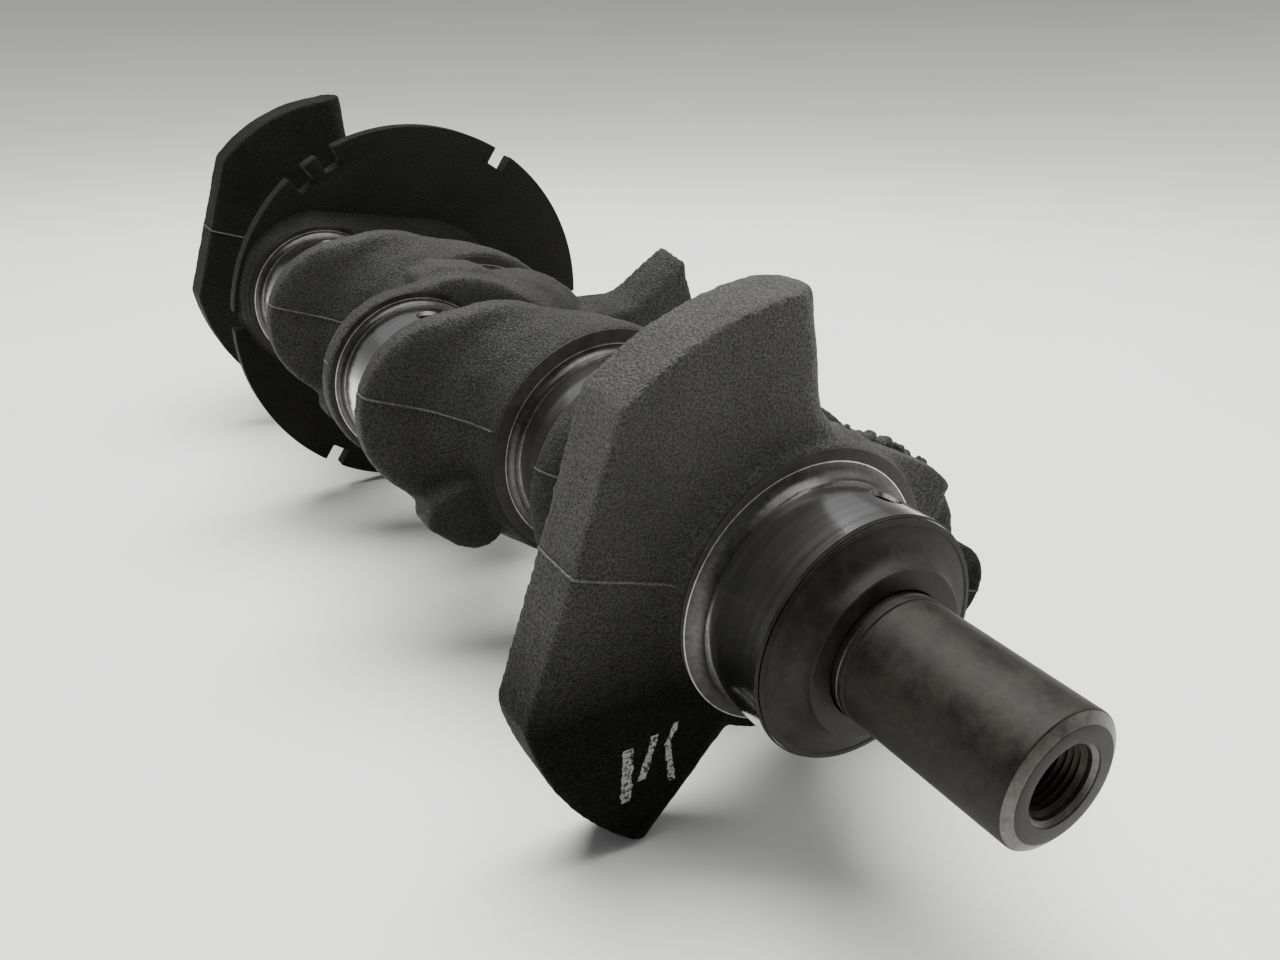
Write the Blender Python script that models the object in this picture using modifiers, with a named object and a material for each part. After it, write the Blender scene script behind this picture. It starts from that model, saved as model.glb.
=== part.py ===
"""Crankshaft of an in-line four-cylinder engine, as named sections of one casting.

Frame: the crank axis lies along Y, the snout points to -Y, Z is up, and the origin is on
the ground below the middle of the shaft. Sections are built in a shaft frame, an empty
whose Z axis is the crank axis running rearward from the snout's end and whose X axis is
the direction of throws 1 and 4.
"""

import math

import bmesh
import bpy
from mathutils import Matrix

MM = 0.001

# Driving dimensions, in metres and degrees
CYLINDER_PITCH = 101.6 * MM
THROW = 44.0 * MM
MAIN_RADIUS = 31.68 * MM
PIN_RADIUS = 25.4 * MM
JOURNAL_WIDTH = 24.4 * MM
FIRST_CYLINDER = 117.7 * MM      # distance from the snout's end to the middle of pin 1
END_MAIN_INSET = 1.1 * MM        # how far the end mains' inner faces stand off the pitch
THROW_ROLL = 19.2                # turn of throw 1 past the horizontal, clockwise from the front
SEAM = 0.3 * MM                  # clearance between neighbouring sections

# Snout, hub and rear end: radii, and distances from the snout's end
SNOUT_RADIUS = 16.24 * MM
SNOUT_FACE_RADIUS = 13.6 * MM
SNOUT_CHAMFER = 1.6 * MM
BOLT_BORE_RADIUS = 8.65 * MM
BOLT_BORE_DEPTH = 38.0 * MM
KEYWAY_WIDTH = 4.8 * MM
KEYWAY_DEPTH = 2.6 * MM
KEYWAY_END = 24.0 * MM
HUB_FRONT = 50.0 * MM
HUB_COLLAR_RADIUS = 21.7 * MM
FRONT_MAIN_FACE = 56.5 * MM
REAR_MAIN_FACE = 483.7 * MM
SEAL_LAND_FRONT = 489.0 * MM
FLANGE_FRONT = 497.0 * MM
SHAFT_LENGTH = 505.0 * MM
REAR_COLLAR_RADIUS = 37.0 * MM
SEAL_LAND_RADIUS = 41.0 * MM
FLANGE_RADIUS = 39.5 * MM
PILOT_RADIUS = 11.5 * MM
FLANGE_BOLT_RADIUS = 4.9 * MM
FLANGE_BOLT_CIRCLE = 28.0 * MM
FLANGE_BOLTS = 6

# Webs: distance from the main journal's face, reach towards the pin, and the radius and
# offset of the circle round the crank axis, which is cut away on the side opposite the pin
MAIN_BOSS_RADIUS = 38.5 * MM
PIN_BOSS_RADIUS = 30.4 * MM
WAIST_OFFSET = 30.0 * MM
WAIST_RADIUS = 37.0 * MM
WEB_SECTIONS = (
    (0.0 * MM, 38.5 * MM, 38.5 * MM, 0.0 * MM),
    (3.0 * MM, 39.8 * MM, 39.3 * MM, 0.0 * MM),
    (7.0 * MM, 42.3 * MM, 39.5 * MM, 4.5 * MM),
    (12.0 * MM, 48.4 * MM, 39.0 * MM, 7.5 * MM),
    (15.7 * MM, 54.5 * MM, 38.5 * MM, 10.0 * MM),
    (17.8 * MM, 64.0 * MM, 38.0 * MM, 12.0 * MM),
    (18.8 * MM, 74.4 * MM, 37.5 * MM, 13.0 * MM),
)
PIN_FACE_RADIUS = 34.0 * MM
PIN_FACE_OFFSET = 20.0 * MM
SHOULDER_OFFSET = 42.0 * MM      # centre of the round shoulder on one flank of each web
SHOULDER_ACROSS = 33.5 * MM
SHOULDER_RADIUS = 6.5 * MM

# Counterweights: rim radius, and each side's tip angle and root (along the weight's axis, across)
RIM_RADIUS = 76.3 * MM
END_WEIGHT_FLAT = 66.0 * MM
END_WEIGHT_SIDES = ((72.4, (7.0 * MM, 43.5 * MM)), (75.8, (4.5 * MM, 42.0 * MM)))
END_WEIGHT_NEAR = 2.5 * MM
END_WEIGHT_FAR = 21.0 * MM
END_WEIGHT_BEVEL = 1.5 * MM
MIDDLE_WEIGHT_SIDES = ((50.0, (30.0 * MM, 34.5 * MM)), (28.0, (34.0 * MM, 30.0 * MM)))
MIDDLE_WEIGHT_NEAR = 4.9 * MM
MIDDLE_WEIGHT_FAR = 16.4 * MM
MIDDLE_WEIGHT_BEVEL = 1.5 * MM
WEIGHT_ROOT_RADIUS = 40.2 * MM

# Sensor disc: six even notches and one sync notch
DISC_FRONT = 343.9 * MM
DISC_REAR = 350.7 * MM
DISC_RADIUS = 75.5 * MM
NOTCH_DEPTH = 7.2 * MM
NOTCH_WIDTH = 7.5 * MM
NOTCH_COUNT = 6
FIRST_NOTCH = 46.2
SYNC_NOTCH = 215.6
DISC_ARM_NARROW = 28.0 * MM      # half widths of the arm between pin 3 and the disc
DISC_ARM_MIDDLE = 31.0 * MM
DISC_ARM_WIDE = 36.0 * MM
DISC_ARM_END = 33.4 * MM

# Oil holes
OIL_HOLE_RADIUS = 3.1 * MM
OIL_HOLE_DEPTH = 9.0 * MM
MAIN_OIL_ANGLE = -88.0
PIN_OIL_ANGLE = 73.0

MAIN_SEGMENTS = 40
PIN_SEGMENTS = 32
WEB_SEGMENTS = 36
HOLE_SEGMENTS = 12
ARC_STEP = 7.5

THROW_SIGNS = (1, -1, -1, 1)


def clear_scene():
    for item in list(bpy.data.objects):
        bpy.data.objects.remove(item, do_unlink=True)


def new_collection(name):
    collection = bpy.data.collections.new(name)
    bpy.context.scene.collection.children.link(collection)
    return collection


def new_material(name, colour, roughness, metallic):
    material = bpy.data.materials.new(name)
    material.use_nodes = True
    shader = material.node_tree.nodes["Principled BSDF"]
    shader.inputs["Base Color"].default_value = (*colour, 1.0)
    shader.inputs["Roughness"].default_value = roughness
    shader.inputs["Metallic"].default_value = metallic
    return material


def steel(name):
    return new_material(name + "_steel", (0.45, 0.44, 0.42), 0.22, 1.0)


def stained(name):
    return new_material(name + "_stained", (0.20, 0.185, 0.165), 0.45, 0.9)


def cast(name):
    return new_material(name + "_cast", (0.055, 0.053, 0.05), 0.7, 0.6)


def place(item, collection, parent, material=None):
    for owner in list(item.users_collection):
        owner.objects.unlink(item)
    collection.objects.link(item)
    item.parent = parent
    if material is not None:
        item.data.materials.clear()
        item.data.materials.append(material)
    return item


def smooth(item, angle=35.0):
    item.data.shade_smooth()
    item.data.set_sharp_from_angle(angle=math.radians(angle))


def as_cutter(item):
    item.hide_render = True
    item.display_type = "WIRE"
    return item


def cut(item, cutter):
    step = item.modifiers.new("cut_" + cutter.name, "BOOLEAN")
    step.operation = "DIFFERENCE"
    step.solver = "EXACT"
    step.object = cutter


def bake(item):
    """Apply an object's modifiers to its mesh."""
    bpy.context.view_layer.update()
    view = item.evaluated_get(bpy.context.evaluated_depsgraph_get())
    baked = bpy.data.meshes.new_from_object(view)
    item.modifiers.clear()
    item.data = baked


def turned(name, profile, segments):
    """Turn a profile of (radius, height) points, listed from the top down, round Z."""
    mesh = bpy.data.meshes.new(name)
    points = [(radius, 0.0, height) for radius, height in profile]
    edges = [(i, i + 1) for i in range(len(points) - 1)]
    if profile[0][0] > 0.0:
        edges.append((len(points) - 1, 0))
    mesh.from_pydata(points, edges, [])
    item = bpy.data.objects.new(name, mesh)
    bpy.context.scene.collection.objects.link(item)
    screw = item.modifiers.new("turn", "SCREW")
    screw.axis = "Z"
    screw.steps = segments
    screw.render_steps = segments
    screw.use_merge_vertices = True
    screw.merge_threshold = 0.00001
    bake(item)
    smooth(item)
    return item


def rod(name, radius, length, segments, chamfer):
    """A solid cylinder from Z = 0 up to length, with chamfered ends."""
    profile = [
        (0.0, length),
        (radius - chamfer, length),
        (radius, length - chamfer),
        (radius, chamfer),
        (radius - chamfer, 0.0),
        (0.0, 0.0),
    ]
    return turned(name, profile, segments)


def arc(radius, start, end, centre=(0.0, 0.0)):
    """Points on an arc from start to end, in degrees."""
    count = max(1, round(abs(end - start) / ARC_STEP))
    angles = [math.radians(start + (end - start) * i / count) for i in range(count + 1)]
    return [(centre[0] + radius * math.cos(a), centre[1] + radius * math.sin(a)) for a in angles]


def extruded(name, outline, low, high):
    """A flat outline in XY, given as points, extruded from low to high along Z."""
    curve = bpy.data.curves.new(name, "CURVE")
    curve.dimensions = "2D"
    curve.fill_mode = "BOTH"
    curve.extrude = (high - low) / 2
    spline = curve.splines.new("POLY")
    spline.points.add(len(outline) - 1)
    for point, (x, y) in zip(spline.points, outline):
        point.co = (x, y, 0.0, 1.0)
    spline.use_cyclic_u = True
    source = bpy.data.objects.new(name + "_outline", curve)
    bpy.context.scene.collection.objects.link(source)
    bpy.context.view_layer.update()
    view = source.evaluated_get(bpy.context.evaluated_depsgraph_get())
    mesh = bpy.data.meshes.new_from_object(view)
    bpy.data.objects.remove(source, do_unlink=True)
    mesh.transform(Matrix.Translation((0.0, 0.0, (low + high) / 2)))
    work = bmesh.new()
    work.from_mesh(mesh)
    bmesh.ops.remove_doubles(work, verts=work.verts, dist=0.00001)
    work.to_mesh(mesh)
    work.free()
    item = bpy.data.objects.new(name, mesh)
    bpy.context.scene.collection.objects.link(item)
    return item


def support(circles, angle):
    """The point of a hull of circles, each an (x, y, radius), that lies furthest along an angle."""
    along = (math.cos(angle), math.sin(angle))
    x, y, radius = max(circles, key=lambda c: c[0] * along[0] + c[1] * along[1] + c[2])
    return x + radius * along[0], y + radius * along[1]


def loft(name, sections):
    """Skin a stack of sections, each a height and circles whose hull is the outline."""
    work = bmesh.new()
    rings = []
    for height, circles in sections:
        ring = []
        for i in range(WEB_SEGMENTS):
            x, y = support(circles, math.tau * (i + 0.5) / WEB_SEGMENTS)
            ring.append(work.verts.new((x, y, height)))
        rings.append(ring)
    for lower, upper in zip(rings, rings[1:]):
        for i in range(WEB_SEGMENTS):
            j = (i + 1) % WEB_SEGMENTS
            work.faces.new((lower[i], lower[j], upper[j], upper[i]))
    work.faces.new(list(reversed(rings[0])))
    work.faces.new(rings[-1])
    mesh = bpy.data.meshes.new(name)
    work.to_mesh(mesh)
    work.free()
    item = bpy.data.objects.new(name, mesh)
    bpy.context.scene.collection.objects.link(item)
    smooth(item, 40.0)
    return item


def web_circles(reach, radius, offset):
    """The circles of one web section that reaches a given distance towards the pin."""
    circles = [(min(offset, reach - radius), 0.0, radius)]
    stops = (
        (WAIST_OFFSET, 0.0, WAIST_RADIUS),
        (THROW, 0.0, PIN_BOSS_RADIUS),
        (SHOULDER_OFFSET, -SHOULDER_ACROSS, SHOULDER_RADIUS),
    )
    for centre, across, size in stops:
        shifted = min(centre, reach - size)
        if reach > radius and shifted > offset:
            circles.append((shifted, across, size))
    return circles


def web_sections(thickness):
    sections = []
    for depth, reach, radius, offset in WEB_SECTIONS:
        height = max(depth, SEAM / 2)
        sections.append((height, web_circles(reach, radius, offset)))
    pin_face = [(PIN_FACE_OFFSET, 0.0, PIN_FACE_RADIUS), (THROW, 0.0, PIN_BOSS_RADIUS)]
    sections.append((thickness - SEAM / 2, pin_face))
    return sections


def weight_outline(lower_side, upper_side, flat=None):
    """A counterweight's outline, its axis along -X, from one root round the rim and back.

    Each side is its tip's angle from the axis and the point where it meets the web.
    """
    (low_tip, low_root), (high_tip, high_root) = lower_side, upper_side
    if flat is None:
        rim = arc(RIM_RADIUS, high_tip, -low_tip)
    else:
        corner = math.degrees(math.acos(flat / RIM_RADIUS))
        rim = arc(RIM_RADIUS, high_tip, corner) + arc(RIM_RADIUS, -corner, -low_tip)
    start = math.degrees(math.atan2(-low_root[1], low_root[0]))
    end = math.degrees(math.atan2(high_root[1], high_root[0]))
    inner = arc(WEIGHT_ROOT_RADIUS, start, end)
    outline = [high_root] + rim + [(low_root[0], -low_root[1])] + inner
    return [(-x, y) for x, y in outline]


def bevel_edges(item, width, height):
    """Chamfer the outline's edges that lie at one height."""
    work = bmesh.new()
    work.from_mesh(item.data)
    edges = []
    for edge in work.edges:
        at_height = all(abs(v.co.z - height) < 0.01 * MM for v in edge.verts)
        on_rim = all(v.co.xy.length > WEIGHT_ROOT_RADIUS + width for v in edge.verts)
        if at_height and on_rim and edge.calc_face_angle(0.0) > 1.0:
            edges.append(edge)
    bmesh.ops.bevel(work, geom=edges, offset=width, segments=1, affect="EDGES", profile=0.5)
    bmesh.ops.remove_doubles(work, verts=work.verts, dist=0.00001)
    work.to_mesh(item.data)
    work.free()


def mirror_height(item, thickness):
    """Turn a section end for end in place, which keeps its outward faces outward."""
    item.data.transform(Matrix.Translation((0.0, 0.0, thickness)) @ Matrix.Rotation(math.pi, 4, "X"))
    item.data.update()


def drill(item, owner_radius, angle, height, cutters, parent):
    """Cut a radial oil hole into a journal at an angle and height in its own frame."""
    work = bmesh.new()
    bmesh.ops.create_cone(
        work,
        cap_ends=True,
        segments=HOLE_SEGMENTS,
        radius1=OIL_HOLE_RADIUS,
        radius2=OIL_HOLE_RADIUS,
        depth=2 * OIL_HOLE_DEPTH,
        matrix=Matrix.Rotation(math.pi / 2, 4, "Y"),
    )
    mesh = bpy.data.meshes.new("oil_drill")
    work.to_mesh(mesh)
    work.free()
    cutter = bpy.data.objects.new("oil_drill_" + item.name, mesh)
    cutters.objects.link(cutter)
    cutter.parent = parent
    turn = math.radians(angle)
    reach = owner_radius
    cutter.location = item.location
    cutter.location.x += reach * math.cos(turn)
    cutter.location.y += reach * math.sin(turn)
    cutter.location.z += height
    cutter.rotation_euler.z = turn
    cut(item, as_cutter(cutter))


def make_snout(parts, cutters, parent):
    profile = [
        (0.0, FRONT_MAIN_FACE - SEAM),
        (SNOUT_RADIUS, FRONT_MAIN_FACE - SEAM),
        (SNOUT_RADIUS, SNOUT_CHAMFER),
        (SNOUT_FACE_RADIUS, 0.0),
        (BOLT_BORE_RADIUS + 0.8 * MM, 0.0),
        (BOLT_BORE_RADIUS, 0.8 * MM),
        (BOLT_BORE_RADIUS, BOLT_BORE_DEPTH),
        (0.0, BOLT_BORE_DEPTH + 3.0 * MM),
    ]
    snout = place(turned("snout", profile, MAIN_SEGMENTS), parts, parent, stained("snout"))
    key = extruded(
        "keyway_cutter",
        [
            (SNOUT_RADIUS - KEYWAY_DEPTH, -KEYWAY_WIDTH / 2),
            (SNOUT_RADIUS + KEYWAY_DEPTH, -KEYWAY_WIDTH / 2),
            (SNOUT_RADIUS + KEYWAY_DEPTH, KEYWAY_WIDTH / 2),
            (SNOUT_RADIUS - KEYWAY_DEPTH, KEYWAY_WIDTH / 2),
        ],
        -1.0 * MM,
        KEYWAY_END,
    )
    place(as_cutter(key), cutters, parent)
    cut(snout, key)


def make_front_hub(parts, parent):
    inner = SNOUT_RADIUS + SEAM
    profile = [
        (inner, FRONT_MAIN_FACE - SEAM),
        (MAIN_RADIUS - 0.5 * MM, FRONT_MAIN_FACE - SEAM),
        (MAIN_RADIUS - 0.5 * MM, FRONT_MAIN_FACE - 0.6 * MM),
        (MAIN_RADIUS - 2.4 * MM, FRONT_MAIN_FACE - 0.9 * MM),
        (27.0 * MM, FRONT_MAIN_FACE - 1.2 * MM),
        (23.6 * MM, FRONT_MAIN_FACE - 2.8 * MM),
        (HUB_COLLAR_RADIUS, HUB_FRONT + 1.6 * MM),
        (HUB_COLLAR_RADIUS, HUB_FRONT + 0.4 * MM),
        (HUB_COLLAR_RADIUS - 0.4 * MM, HUB_FRONT),
        (inner, HUB_FRONT),
    ]
    place(turned("front_hub", profile, MAIN_SEGMENTS), parts, parent, stained("front_hub"))


def main_span(number):
    """Front and rear face of a main journal, numbered from 1."""
    centre = FIRST_CYLINDER + (number - 1.5) * CYLINDER_PITCH
    low = centre - JOURNAL_WIDTH / 2
    high = centre + JOURNAL_WIDTH / 2
    if number == 1:
        return FRONT_MAIN_FACE, high + END_MAIN_INSET
    if number == 5:
        return low - END_MAIN_INSET, REAR_MAIN_FACE
    return low, high


def pin_span(number):
    centre = FIRST_CYLINDER + (number - 1) * CYLINDER_PITCH
    return centre - JOURNAL_WIDTH / 2, centre + JOURNAL_WIDTH / 2


def make_journals(parts, cutters, parent):
    for number in range(1, 6):
        low, high = main_span(number)
        length = high - low - SEAM
        name = f"main_journal_{number}"
        journal = rod(name, MAIN_RADIUS, length, MAIN_SEGMENTS, 0.6 * MM)
        place(journal, parts, parent, steel(name))
        journal.location.z = low + SEAM / 2
        drill(journal, MAIN_RADIUS, MAIN_OIL_ANGLE, length / 2, cutters, parent)
    for number, sign in enumerate(THROW_SIGNS, start=1):
        low, high = pin_span(number)
        length = high - low - SEAM
        name = f"crankpin_{number}"
        pin = rod(name, PIN_RADIUS, length, PIN_SEGMENTS, 0.6 * MM)
        place(pin, parts, parent, steel(name))
        pin.location = (sign * THROW, 0.0, low + SEAM / 2)
        outward = 0.0 if sign > 0 else 180.0
        drill(pin, PIN_RADIUS, outward + PIN_OIL_ANGLE, length / 2, cutters, parent)


def web_span(number):
    """Front and rear face of a web, and whether its main journal is in front of it."""
    throw = (number + 1) // 2
    if number % 2 == 1:
        return main_span(throw)[1], pin_span(throw)[0], True
    return pin_span(throw)[1], main_span(throw + 1)[0], False


def seat(item, number, parts, parent, material):
    """Place a web or weight, built from its main journal's face, on its throw."""
    low, high, main_first = web_span(number)
    if not main_first:
        mirror_height(item, high - low)
    place(item, parts, parent, material)
    item.location.z = low
    item.rotation_euler.z = 0.0 if THROW_SIGNS[(number - 1) // 2] > 0 else math.pi


def make_web(number, parts, parent):
    name = f"web_{number}"
    low, high, _ = web_span(number)
    web = loft(name, web_sections(high - low))
    seat(web, number, parts, parent, cast(name))


def make_end_weight(number, parts, parent):
    name = f"counterweight_{number}"
    outline = weight_outline(*END_WEIGHT_SIDES, END_WEIGHT_FLAT)
    weight = extruded(name, outline, END_WEIGHT_NEAR, END_WEIGHT_FAR)
    bevel_edges(weight, END_WEIGHT_BEVEL, END_WEIGHT_NEAR)
    seat(weight, number, parts, parent, cast(name))


def make_middle_weight(number, parts, parent):
    name = f"counterweight_{number}"
    outline = weight_outline(*MIDDLE_WEIGHT_SIDES)
    weight = extruded(name, outline, MIDDLE_WEIGHT_NEAR, MIDDLE_WEIGHT_FAR)
    bevel_edges(weight, MIDDLE_WEIGHT_BEVEL, MIDDLE_WEIGHT_FAR)
    seat(weight, number, parts, parent, cast(name))


def notch(angle):
    """The four corners of one notch, which runs in from the disc's edge."""
    half = math.degrees(math.asin(NOTCH_WIDTH / 2 / DISC_RADIUS))
    turn = math.radians(angle)
    deep = DISC_RADIUS - NOTCH_DEPTH
    corners = []
    for side in (-1, 1):
        across = side * NOTCH_WIDTH / 2
        x = deep * math.cos(turn) - across * math.sin(turn)
        y = deep * math.sin(turn) + across * math.cos(turn)
        corners.append((x, y))
    return half, corners


def make_disc(parts, parent):
    angles = [FIRST_NOTCH + 360.0 / NOTCH_COUNT * i for i in range(NOTCH_COUNT)]
    angles = sorted(angles + [SYNC_NOTCH])
    outline = []
    for angle, following in zip(angles, angles[1:] + [angles[0] + 360.0]):
        half, corners = notch(angle)
        outline += corners
        outline += arc(DISC_RADIUS, angle + half, following - half)
    disc = extruded("sensor_disc", outline, DISC_FRONT + SEAM / 2, DISC_REAR - SEAM / 2)
    smooth(disc)
    place(disc, parts, parent, cast("sensor_disc"))


def make_disc_web(parts, parent):
    """Web 6 stands on both faces of the sensor disc: a pin arm in front, a boss behind."""
    low, high, _ = web_span(6)
    arm_length = DISC_FRONT - low - SEAM / 2
    arm = loft(
        "web_6",
        [
            (SEAM / 2, [(PIN_FACE_OFFSET, 0.0, DISC_ARM_NARROW), (THROW, 0.0, PIN_BOSS_RADIUS)]),
            (3.0 * MM, [(16.0 * MM, 0.0, DISC_ARM_MIDDLE), (THROW, 0.0, PIN_BOSS_RADIUS)]),
            (arm_length, [(4.0 * MM, 0.0, DISC_ARM_WIDE), (39.0 * MM, 0.0, DISC_ARM_END)]),
        ],
    )
    place(arm, parts, parent, cast("web_6"))
    arm.location.z = low
    arm.rotation_euler.z = math.pi
    boss = rod("disc_boss", MAIN_BOSS_RADIUS, high - DISC_REAR - SEAM, MAIN_SEGMENTS, 1.0 * MM)
    place(boss, parts, parent, cast("disc_boss"))
    boss.location.z = DISC_REAR + SEAM / 2


def make_rear_end(parts, cutters, parent):
    collar = rod(
        "rear_collar",
        REAR_COLLAR_RADIUS,
        SEAL_LAND_FRONT - REAR_MAIN_FACE - SEAM,
        MAIN_SEGMENTS,
        0.8 * MM,
    )
    place(collar, parts, parent, stained("rear_collar"))
    collar.location.z = REAR_MAIN_FACE + SEAM / 2
    spans = (
        ("rear_seal_land", SEAL_LAND_RADIUS, SEAL_LAND_FRONT, FLANGE_FRONT, steel),
        ("flywheel_flange", FLANGE_RADIUS, FLANGE_FRONT, SHAFT_LENGTH + SEAM / 2, stained),
    )
    tools = [rod("pilot_cutter", PILOT_RADIUS, 30.0 * MM, 2 * HOLE_SEGMENTS, 0.0)]
    for i in range(FLANGE_BOLTS):
        turn = math.tau * i / FLANGE_BOLTS
        tool = rod(f"flange_bolt_cutter_{i + 1}", FLANGE_BOLT_RADIUS, 30.0 * MM, HOLE_SEGMENTS, 0.0)
        tool.location.x = FLANGE_BOLT_CIRCLE * math.cos(turn)
        tool.location.y = FLANGE_BOLT_CIRCLE * math.sin(turn)
        tools.append(tool)
    for tool in tools:
        place(as_cutter(tool), cutters, parent)
        tool.location.z = SEAL_LAND_FRONT - 4.0 * MM
    for name, radius, low, high, finish in spans:
        land = rod(name, radius, high - low - SEAM, MAIN_SEGMENTS, 0.8 * MM)
        place(land, parts, parent, finish(name))
        land.location.z = low + SEAM / 2
        for tool in tools:
            cut(land, tool)


def main():
    clear_scene()
    parts = new_collection("crankshaft")
    cutters = new_collection("cutters")
    axis = bpy.data.objects.new("crank_axis", None)
    parts.objects.link(axis)
    axis.location = (0.0, -SHAFT_LENGTH / 2, DISC_RADIUS)
    axis.rotation_euler = (math.radians(-90.0), math.radians(THROW_ROLL), 0.0)
    make_snout(parts, cutters, axis)
    make_front_hub(parts, axis)
    make_journals(parts, cutters, axis)
    for number in (1, 2, 3, 4, 5, 7, 8):
        make_web(number, parts, axis)
    for number in (1, 8):
        make_end_weight(number, parts, axis)
    for number in (4, 5):
        make_middle_weight(number, parts, axis)
    make_disc(parts, axis)
    make_disc_web(parts, axis)
    make_rear_end(parts, cutters, axis)


main()
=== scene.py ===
"""Crankshaft of an in-line four: turned ends, ground journals and sand-cast webs.

Turned pieces and castings are built in millimetres in frames taken from the CAD boxes. The
shaft frame has Z along the crank axis, rearward from the snout's end, and X towards throws 1
and 4. A web's frame stands on its main journal's face with X towards its own crankpin. Every
object's own axes are the row's, turned so that its Z also runs rearward.
"""

import math
import random

import bmesh
import bpy
from mathutils import Matrix, Vector


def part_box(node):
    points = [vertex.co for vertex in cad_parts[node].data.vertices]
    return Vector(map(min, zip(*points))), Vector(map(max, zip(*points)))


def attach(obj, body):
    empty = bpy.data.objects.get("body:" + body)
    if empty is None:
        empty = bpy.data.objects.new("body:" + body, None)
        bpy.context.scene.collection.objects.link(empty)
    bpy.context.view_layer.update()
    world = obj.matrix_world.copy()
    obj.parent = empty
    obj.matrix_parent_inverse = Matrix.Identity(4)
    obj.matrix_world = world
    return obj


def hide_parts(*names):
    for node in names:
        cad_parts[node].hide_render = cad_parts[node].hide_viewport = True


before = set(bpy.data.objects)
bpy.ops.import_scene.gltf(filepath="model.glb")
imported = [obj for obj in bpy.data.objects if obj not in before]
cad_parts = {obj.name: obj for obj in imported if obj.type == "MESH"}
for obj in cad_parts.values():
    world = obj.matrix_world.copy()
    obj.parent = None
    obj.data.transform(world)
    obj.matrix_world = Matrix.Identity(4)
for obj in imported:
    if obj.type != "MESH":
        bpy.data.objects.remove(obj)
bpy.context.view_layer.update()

MM = 0.001
SCALE = Matrix.Scale(MM, 4)

# Ground and turned parts, in millimetres
MAIN_RADIUS = 31.68
PIN_RADIUS = 25.4
MAIN_RING = 37.8
PIN_RING = 29.0
LATHE_STEPS = 128
THREAD_PITCH = 1.5
OIL_HOLE = 3.1
OIL_CHAMFER = 4.5

# Castings, in millimetres
VOXEL = 1.1
RIM_RADIUS = 76.0
DISC_RADIUS = 75.5
THROW_FLAT = 73.2
NOTCH_WIDTH = 7.5
NOTCH_FLOOR = 68.3
NOTCH_ANGLES = (46.2, 106.2, 166.2, 226.2, 286.2, 346.2, 215.6)
PIN_BOSS = 29.3
WAIST = (28.0, 36.2)
FLASH_RADIUS = 0.32

# Web sections: depth from the main face, reach towards the pin, main circle radius, its shift
WEB_ROWS = (
    (0.2, 38.3, 38.3, 0.0),
    (3.0, 39.8, 39.3, 0.4),
    (5.0, 41.0, 39.5, 2.2),
    (7.0, 42.3, 39.5, 4.5),
    (9.5, 45.0, 39.2, 6.0),
    (12.0, 48.4, 39.0, 7.5),
    (14.0, 51.2, 38.7, 8.8),
    (15.7, 54.2, 38.4, 10.0),
    (17.0, 59.0, 38.0, 11.2),
    (18.0, 66.0, 37.6, 12.2),
    (18.7, 73.0, 37.2, 13.0),
    (19.6, 76.0, 36.8, 14.0),
    (26.4, 76.0, 34.0, 20.0),
)


# Frames from the CAD boxes


def span(node):
    """A node's two ends along the crank axis, in millimetres from the snout's end."""
    low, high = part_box(node)
    return (low[1] - snout_end) / MM, (high[1] - snout_end) / MM


def middle(node):
    low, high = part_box(node)
    return (Vector(low) + Vector(high)) / 2


def face(front, rear):
    """Where two neighbouring nodes meet along the crank axis."""
    return (span(front)[1] + span(rear)[0]) / 2


def throw_sign(pin):
    return 1 if pin in (1, 4) else -1


def shaft_at(height, across=0.0):
    """A frame on the shaft's local X axis, in millimetres."""
    return SHAFT @ Matrix.Translation((across, 0.0, height))


def web_frame(number, low, high):
    """A web's frame and thickness. Even webs have their main journal behind them."""
    turn = 0.0 if throw_sign((number + 1) // 2) > 0 else math.pi
    place = SHAFT @ Matrix.Translation((0.0, 0.0, low)) @ Matrix.Rotation(turn, 4, "Z")
    if number % 2 == 0:
        place = place @ Matrix.Translation((0.0, 0.0, high - low)) @ Matrix.Rotation(math.pi, 4, "X")
    return place, high - low


snout_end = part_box("snout")[0][1]
crank_axis = middle("main_journal_1")
to_pin = middle("crankpin_1") - crank_axis
to_pin.y = 0.0
THROW = to_pin.length / MM
rearward = Vector((0.0, 1.0, 0.0))
to_pin.normalize()
SHAFT = (
    Matrix.Translation((crank_axis.x, snout_end, crank_axis.z))
    @ Matrix((to_pin, rearward.cross(to_pin), rearward)).transposed().to_4x4()
    @ SCALE
)


# Materials


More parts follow.
